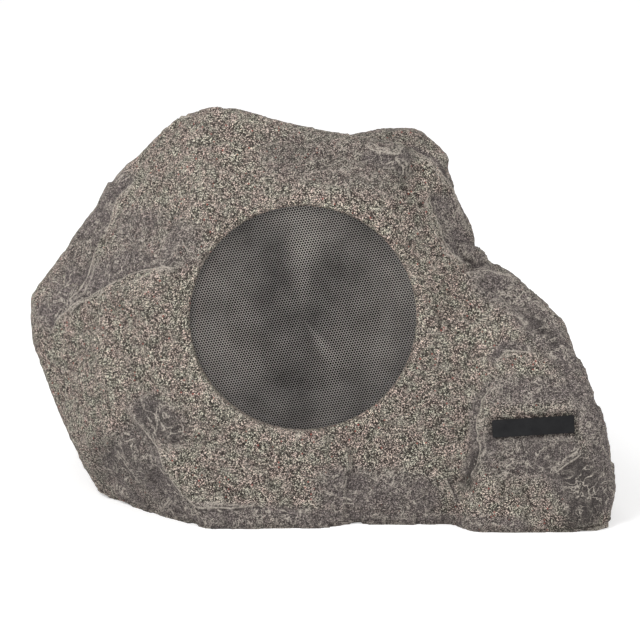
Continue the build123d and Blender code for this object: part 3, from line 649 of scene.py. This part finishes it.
# Angle and spread of the painted highlight wedge at the top and the painted highlight streak below the middle
wedge_turn, wedge_spread = 1.55, math.radians(13)
streak_turn, streak_spread = -0.95, math.radians(9)
sheet_bm = bmesh.new()
bmesh.ops.create_circle(sheet_bm, cap_ends=True, segments=6, radius=hole_pitch / math.sqrt(3))
copies = [(hole_pitch / 2, row_gap)] + [(hole_pitch * 2 ** k, 0) for k in range(doublings)]
copies += [(0, 2 * row_gap * 2 ** k) for k in range(doublings - 1)]
for across, up in copies:
    copied = bmesh.ops.duplicate(sheet_bm, geom=sheet_bm.verts[:] + sheet_bm.edges[:] + sheet_bm.faces[:])
    new_verts = [part for part in copied["geom"] if isinstance(part, bmesh.types.BMVert)]
    bmesh.ops.translate(sheet_bm, verts=new_verts, vec=(across, up, 0))
half_count = 2 ** (doublings - 1)
bmesh.ops.translate(sheet_bm, verts=sheet_bm.verts, vec=(-half_count * hole_pitch, -half_count * row_gap, 0))
hole_reach = grille_radius - rim_width - 0.4 * hole_pitch
too_far = [face for face in sheet_bm.faces if face.calc_center_median().length > hole_reach]
bmesh.ops.delete(sheet_bm, geom=too_far, context="FACES")
bmesh.ops.remove_doubles(sheet_bm, verts=sheet_bm.verts, dist=hole_pitch / 20)
hole_faces = sheet_bm.faces[:]
bmesh.ops.inset_individual(sheet_bm, faces=hole_faces, thickness=hole_web / 2, use_even_offset=True)
punched = bmesh.ops.extrude_discrete_faces(sheet_bm, faces=hole_faces)["faces"]
punched_verts = list({vert for face in punched for vert in face.verts})
bmesh.ops.translate(sheet_bm, verts=punched_verts, vec=(0, 0, -punch_depth))
bmesh.ops.delete(sheet_bm, geom=punched, context="FACES_ONLY")
rim_in, rim_out = grille_radius - 1.6 * rim_width, grille_radius
rim_profile = [(rim_in, -0.0002), (rim_out, -0.0002), (rim_out, -grille_sheet), (rim_in, -grille_sheet)]
rim_verts = [sheet_bm.verts.new((across, 0, up)) for across, up in rim_profile]
rim_profile_edges = [sheet_bm.edges.new((rim_verts[k], rim_verts[k - 1])) for k in range(4)]
bmesh.ops.spin(
    sheet_bm,
    geom=rim_verts + rim_profile_edges,
    cent=(0, 0, 0),
    axis=(0, 0, 1),
    angle=math.radians(360),
    steps=120,
    use_merge=True,
)
bmesh.ops.recalc_face_normals(sheet_bm, faces=sheet_bm.faces)
across_grille = Vector((1, 0, 0))
up_grille = sound_axis.cross(across_grille).normalized()
glint_and_shade_layer = sheet_bm.verts.layers.float.new("painted_glints_and_shade")

# Painted reflections and shade: the paint is lighter at both sides, in a wedge at the top and in a streak below
# the middle, as if the wavy sheet caught the lamps there, and dark at the back of the punched holes, where
# shade falls
for vert in sheet_bm.verts:
    radius = vert.co.xy.length
    angle = math.atan2(vert.co.y, vert.co.x) + lattice_turn
    free = max(0.0, 1 - (radius / opening_radius) ** 4)
    wave = math.sin(2 * angle - 0.5) * (radius / 0.06) ** 2 + 0.6 * noise.noise(Vector(vert.co) * 26)
    top_glint = math.exp(-((angle - wedge_turn) / wedge_spread) ** 2) * min(1, radius / 0.05)
    low_glint = math.exp(-((angle - streak_turn) / streak_spread) ** 2)
    low_glint *= max(0, 1 - abs(radius - 0.022) / 0.03)
    sides = abs(math.cos(angle)) * min(1, radius / 0.06)
    hole_shade = 1.0 if vert.co.z < -0.5 * punch_depth else 0.0
    vert[glint_and_shade_layer] = 0.25 + 0.3 * sides + 0.55 * top_glint + 0.5 * low_glint - hole_shade
    flat = across_grille * radius * math.cos(angle) + up_grille * radius * math.sin(angle)
    vert.co = opening_centre + flat + sound_axis * (vert.co.z - 0.0001 + wave_height * free * (wave - 1.2))
grille_piece = new_piece("grille_sheet", sheet_bm, "grille")
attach(grille_piece, "enclosure")
grille_material, tree, shader = new_material("grille_paint")
dust = add_node(tree, "ShaderNodeTexNoise", Vector=object_place(tree), Scale=42, Detail=3, Roughness=0.6)
# The painted reflections and shade from the mesh, broken up by dust, set the paint's tone
painted_glints_and_shade = maths(tree, "ADD", attribute(tree, "painted_glints_and_shade"), maths(tree, "SUBTRACT", dust.outputs["Fac"], 0.5))
paint_level = ramp(
    tree,
    painted_glints_and_shade,
    (0.0, (0.03, 0.028, 0.027)),
    (0.2, (0.2, 0.185, 0.176)),
    (0.55, (0.4, 0.373, 0.352)),
    (1.0, (0.64, 0.608, 0.562)),
)
tree.links.new(paint_level, shader.inputs["Base Color"])
tree.links.new(ramp(tree, dust.outputs["Fac"], (0.3, 0.36), (0.7, 0.52)), shader.inputs["Roughness"])
shader.inputs["Specular IOR Level"].default_value = 0.5
grille_piece.data.materials.append(grille_material)

# Foam ring: a strip of black closed cell foam stuck behind the grille, squeezed between it and the
# loudspeaker's frame so that neither rattles.
foam, tree, shader = new_material("foam")
cells = add_node(tree, "ShaderNodeTexVoronoi", Vector=object_place(tree), Scale=1400)
cell_level = ramp(tree, cells.outputs["Distance"], (0.1, (0.012, 0.012, 0.012)), (0.6, (0.045, 0.045, 0.044)))
tree.links.new(cell_level, shader.inputs["Base Color"])
shader.inputs["Roughness"].default_value = 0.95
shader.inputs["Specular IOR Level"].default_value = 0.1
raise_grain(tree, shader, cells.outputs["Distance"], 0.6, 0.0004)


def dress(material, *names):
    """Gives CAD nodes a material in place of their plain one."""
    for name in names:
        nodes[name].data.materials.clear()
        nodes[name].data.materials.append(material)


dress(foam, "grille_gasket")

# Badge plate: a small bare plate of black plastic with softened edges, stuck in a shallow bed in the stone.
# Handling has left it satin, with faint dust in its grain.


def shared_effect(name, output_kind):
    """A node group with a scale and a strength that gives one varying output."""
    group = bpy.data.node_groups.new(name, "ShaderNodeTree")
    group.interface.new_socket("Scale", in_out="INPUT", socket_type="NodeSocketFloat")
    group.interface.new_socket("Strength", in_out="INPUT", socket_type="NodeSocketFloat")
    group.interface.new_socket("Result", in_out="OUTPUT", socket_type=output_kind)
    given = group.nodes.new("NodeGroupInput")
    pattern = add_node(
        group,
        "ShaderNodeTexNoise",
        Vector=object_place(group),
        Scale=given.outputs["Scale"],
        Detail=4,
        Roughness=0.62,
    )
    return group, given, pattern, group.nodes.new("NodeGroupOutput")


mottle, given, pattern, taken = shared_effect("mottle", "NodeSocketFloat")
from_middle = maths(mottle, "SUBTRACT", pattern.outputs["Fac"], 0.5)
spread = maths(mottle, "MULTIPLY", from_middle, given.outputs["Strength"])
mottle.links.new(maths(mottle, "ADD", spread, 0.5), taken.inputs["Result"])
grain, given, pattern, taken = shared_effect("grain", "NodeSocketVector")
bump = add_node(grain, "ShaderNodeBump", Distance=0.0004, Height=pattern.outputs["Fac"])
grain.links.new(given.outputs["Strength"], bump.inputs["Strength"])
grain.links.new(bump.outputs["Normal"], taken.inputs["Result"])


def use_effect(tree, group, scale, strength):
    """The output of a shared effect in a material."""
    node = tree.nodes.new("ShaderNodeGroup")
    node.node_tree = group
    node.inputs["Scale"].default_value = scale
    node.inputs["Strength"].default_value = strength
    return node.outputs["Result"]


def finished(name, dark, light, rough, spots=60, texture=900, relief=0.15, metal=0.0, sheen=0.5):
    """A material that wanders between two colours and two roughnesses, with a fine grain."""
    material, tree, shader = new_material(name)
    spread = use_effect(tree, mottle, spots, 1.6)
    tree.links.new(ramp(tree, spread, (0.2, dark), (0.8, light)), shader.inputs["Base Color"])
    tree.links.new(ramp(tree, spread, (0.2, rough[0]), (0.8, rough[1])), shader.inputs["Roughness"])
    tree.links.new(use_effect(tree, grain, texture, relief), shader.inputs["Normal"])
    shader.inputs["Metallic"].default_value = metal
    shader.inputs["Specular IOR Level"].default_value = sheen
    return material


def merged_copy(name):
    """A copy of a CAD node's mesh with its loose triangles joined."""
    bm = bmesh.new()
    bm.from_mesh(nodes[name].data)
    bmesh.ops.remove_doubles(bm, verts=bm.verts, dist=0.000002)
    return bm


def softened(name, width, material):
    """A copy of a CAD node with its sharp edges rounded, which stands for the node."""
    bm = merged_copy(name)
    bmesh.ops.dissolve_limit(bm, angle_limit=math.radians(0.5), verts=bm.verts, edges=bm.edges)
    corner = math.radians(40)
    sharp = [edge for edge in bm.edges if len(edge.link_faces) == 2 and edge.calc_face_angle() > corner]
    bmesh.ops.bevel(
        bm, geom=sharp, offset=width, offset_type="OFFSET", affect="EDGES", segments=2, profile=0.5, material=-1
    )
    piece = new_piece(name + "_soft", bm, name, smooth_below=35)
    piece.data.materials.append(material)
    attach(piece, "enclosure")


badge_material = finished(
    "black_plate", (0.008, 0.008, 0.009), (0.016, 0.016, 0.017), (0.3, 0.44),
    spots=120, texture=1500, relief=0.08, sheen=0.15,
)
softened("badge_plate", 0.0005, badge_material)

# Loudspeaker frame: a basket pressed from sheet steel and dipped in black paint, held to the collar behind the
# opening by four zinc plated screws with hexagon heads.
frame_paint = finished(
    "frame_paint", (0.011, 0.011, 0.011), (0.024, 0.024, 0.023), (0.38, 0.55),
    spots=70, texture=1200, relief=0.1, sheen=0.2,
)
zinc = finished(
    "zinc_steel", (0.46, 0.46, 0.43), (0.66, 0.65, 0.61), (0.24, 0.42),
    spots=240, texture=1800, relief=0.06, metal=1.0,
)
dress(frame_paint, "woofer_frame")
dress(zinc, "woofer_screws")

# Cone and dust cap: dark paper pulp, felted on a screen and pressed, glued to the voice coil's former.
# The former is rolled from aluminium foil and carries two layers of copper wire.
paper = finished(
    "cone_paper", (0.006, 0.006, 0.006), (0.016, 0.0155, 0.015), (0.8, 0.95),
    spots=320, texture=1600, relief=0.5, sheen=0.08,
)
dress(paper, "woofer_cone", "dust_cap")
foil = finished(
    "former_aluminium", (0.66, 0.67, 0.67), (0.82, 0.82, 0.81), (0.22, 0.36),
    spots=150, texture=2200, relief=0.05, metal=1.0,
)
dress(foil, "voice_coil_former")
wire, tree, shader = new_material("coil_copper")
along_axis = vector_maths(tree, "DOT_PRODUCT", object_place(tree), sound_axis)["Value"]
turns = maths(tree, "SINE", maths(tree, "MULTIPLY", along_axis, 20000))
copper = ramp(tree, turns, (0.0, (0.42, 0.15, 0.06)), (0.8, (0.78, 0.36, 0.17)))
tree.links.new(copper, shader.inputs["Base Color"])
shader.inputs["Metallic"].default_value = 1
shader.inputs["Roughness"].default_value = 0.3
raise_grain(tree, shader, turns, 0.7, 0.0001)
dress(wire, "voice_coil")

# Surround and spider: a half roll of black rubber round the cone, and a pleated disc of cotton cloth stiffened
# with resin behind it. Both are glued to the frame and let the cone travel.
rubber = finished(
    "soft_rubber", (0.008, 0.008, 0.008), (0.018, 0.018, 0.018), (0.5, 0.7),
    spots=90, texture=1300, relief=0.12, sheen=0.2,
)
cloth, tree, shader = new_material("spider_cloth")
cloth_place = add_node(tree, "ShaderNodeSeparateXYZ", Vector=object_place(tree)).outputs
threads = [maths(tree, "SINE", maths(tree, "MULTIPLY", cloth_place[axis], 9000)) for axis in ("X", "Z")]
weave = maths(tree, "MULTIPLY", threads[0], threads[1])
cotton = ramp(tree, weave, (0.0, (0.3, 0.2, 0.08)), (0.6, (0.5, 0.37, 0.17)))
tree.links.new(cotton, shader.inputs["Base Color"])
shader.inputs["Roughness"].default_value = 0.9
raise_grain(tree, shader, weave, 0.6, 0.0002)


def suspended(name, material):
    """A ring cut into sectors round the sound axis, each sector a piece that stands for the ring."""
    sectors = 12
    sector = math.radians(360 / sectors)
    for number in range(sectors):
        spoke = across_grille * math.cos(number * sector) + up_grille * math.sin(number * sector)
        ring = merged_copy(name)
        for side in (number - 0.5, number + 0.5):
            border = across_grille * math.cos(side * sector) + up_grille * math.sin(side * sector)
            outward = border.cross(sound_axis)
            outward *= -math.copysign(1, outward.dot(spoke))
            everything = ring.verts[:] + ring.edges[:] + ring.faces[:]
            bmesh.ops.bisect_plane(
                ring,
                geom=everything,
                dist=0.000001,
                plane_co=opening_centre,
                plane_no=outward,
                clear_outer=True,
            )
        piece = new_piece(f"{name}_{number}", ring, name, smooth_below=35)
        piece.data.materials.append(material)
        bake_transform(piece)


suspended("cone_surround", rubber)
suspended("spider", cloth)

# Magnet: a ring of sintered ferrite, ground flat and glued between two plated steel plates, the rear one with
# the pole that stands inside the voice coil.
ferrite = finished(
    "ferrite", (0.028, 0.028, 0.031), (0.06, 0.06, 0.064), (0.5, 0.75),
    spots=110, texture=1000, relief=0.25,
)
dress(ferrite, "ferrite_magnet")
dress(zinc, "top_plate", "pole_yoke")

# Terminal board: a strip of brown laminated paper on the frame's rim, with two tinned brass tags riveted to it.
# The lead from the terminal block ends at the tags.
board = finished(
    "tag_board", (0.15, 0.075, 0.03), (0.25, 0.14, 0.065), (0.5, 0.68),
    spots=130, texture=1500, relief=0.15,
)
tinned = finished(
    "tinned_brass", (0.52, 0.5, 0.43), (0.72, 0.7, 0.63), (0.25, 0.4),
    spots=300, texture=1500, relief=0.06, metal=1.0,
)
dress(board, "terminal_board")
dress(tinned, "terminal_tags")

# Base: a plate of black moulded plastic that closes the stone from below on a rubber gasket, with four zinc
# plated hexagon head screws into the flange.
black_plastic = finished(
    "black_plastic", (0.014, 0.014, 0.015), (0.032, 0.032, 0.033), (0.42, 0.6),
    spots=80, texture=1700, relief=0.3,
)
softened("base_plate", 0.0008, black_plastic)
dress(rubber, "base_gasket")
dress(zinc, "base_screws")

# Line transformer: stacked steel sheets round a taped winding, held down to the base plate by a bent strap of
# plated steel.
core, tree, shader = new_material("core_steel")
stack = add_node(tree, "ShaderNodeSeparateXYZ", Vector=object_place(tree))
sheets = maths(tree, "SINE", maths(tree, "MULTIPLY", stack.outputs["Y"], 12600))
core_spread = use_effect(tree, mottle, 130, 1.4)
steel = ramp(tree, core_spread, (0.2, (0.13, 0.125, 0.12)), (0.8, (0.26, 0.25, 0.24)))
tree.links.new(steel, shader.inputs["Base Color"])
shader.inputs["Metallic"].default_value = 0.8
shader.inputs["Roughness"].default_value = 0.45
raise_grain(tree, shader, sheets, 0.7, 0.0002)
dress(core, "transformer_core")
tape = finished(
    "winding_tape", (0.42, 0.27, 0.05), (0.6, 0.42, 0.11), (0.3, 0.45),
    spots=60, texture=700, relief=0.1,
)
dress(tape, "transformer_winding")
dress(zinc, "transformer_strap")

# Terminal block and twin lead: a moulded block of cream plastic bonded to the base plate, and a flat lead with
# one red and one black core that joins it to the loudspeaker's tags.
block = finished(
    "block_plastic", (0.6, 0.57, 0.49), (0.74, 0.71, 0.63), (0.35, 0.5),
    spots=90, texture=1200, relief=0.08,
)
dress(block, "terminal_block")
lead_middle = sum(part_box("twin_lead"), Vector()) / 2
lead, tree, shader = new_material("lead_sheath")
lead_place = add_node(tree, "ShaderNodeSeparateXYZ", Vector=object_place(tree))
lead_side = maths(tree, "GREATER_THAN", lead_place.outputs["X"], lead_middle.x)
lead_wear = use_effect(tree, mottle, 200, 1.2)
red_core = ramp(tree, lead_wear, (0.2, (0.34, 0.02, 0.015)), (0.8, (0.5, 0.04, 0.03)))
black_core = ramp(tree, lead_wear, (0.2, (0.012, 0.012, 0.012)), (0.8, (0.03, 0.03, 0.03)))
tree.links.new(mix_colour(tree, lead_side, red_core, black_core), shader.inputs["Base Color"])
shader.inputs["Roughness"].default_value = 0.4
dress(lead, "twin_lead")

# Cable gland: moulded black plastic in a round recess at the back, screwed through the wall with a nut inside.
# Its outer nut squeezes a rubber seal round the cable.
softened("gland_body", 0.0005, black_plastic)
softened("gland_nut", 0.0006, black_plastic)
dress(black_plastic, "gland_locknut")
dress(rubber, "gland_seal")

# Floor, backdrop and light: a white table in a studio, with one large soft lamp above the camera's left
# and a weaker one on the right, so that the stone's faces part from each other without hard shadows.


def seen_white(tree):
    """1 for what the camera sees directly, in a mirror or through glass, and 0 for the light on the object."""
    path = add_node(tree, "ShaderNodeLightPath")
    mirrored = maths(tree, "MAXIMUM", path.outputs["Is Camera Ray"], path.outputs["Is Glossy Ray"])
    return maths(tree, "MAXIMUM", mirrored, path.outputs["Is Transmission Ray"])


floor_mesh = bpy.data.meshes.new("floor")
floor_bm = bmesh.new()
bmesh.ops.create_grid(floor_bm, x_segments=1, y_segments=1, size=6)
floor_bm.to_mesh(floor_mesh)
floor_bm.free()
floor = bpy.data.objects.new("floor", floor_mesh)
scene.collection.objects.link(floor)
floor_material, tree, shader = new_material("white_floor")
shader.inputs["Base Color"].default_value = (0.85, 0.85, 0.85, 1)
shader.inputs["Roughness"].default_value = 0.9
shader.inputs["Emission Color"].default_value = (1, 1, 1, 1)
tree.links.new(maths(tree, "MULTIPLY", seen_white(tree), 0.42), shader.inputs["Emission Strength"])
floor_mesh.materials.append(floor_material)

world = bpy.data.worlds.new("studio")
world.use_nodes = True
scene.world = world
background = world.node_tree.nodes["Background"]
background.inputs["Color"].default_value = (1, 1, 1, 1)
world_level = maths(world.node_tree, "MULTIPLY", seen_white(world.node_tree), 0.44)
world_level = maths(world.node_tree, "ADD", world_level, 0.56)
world.node_tree.links.new(world_level, background.inputs["Strength"])


def soft_lamp(name, place, size, power):
    """A square soft lamp that looks at the stone."""
    lamp = bpy.data.objects.new(name, bpy.data.lights.new(name, "AREA"))
    lamp.data.size = size
    lamp.data.energy = power
    lamp.location = place
    lamp.rotation_euler = (camera_target - Vector(place)).to_track_quat("-Z", "Y").to_euler()
    scene.collection.objects.link(lamp)


soft_lamp("key_lamp", (-1.3, -1.5, 2.0), 1.2, 41)
soft_lamp("side_lamp", (1.6, -1.4, 1.5), 1.2, 11)
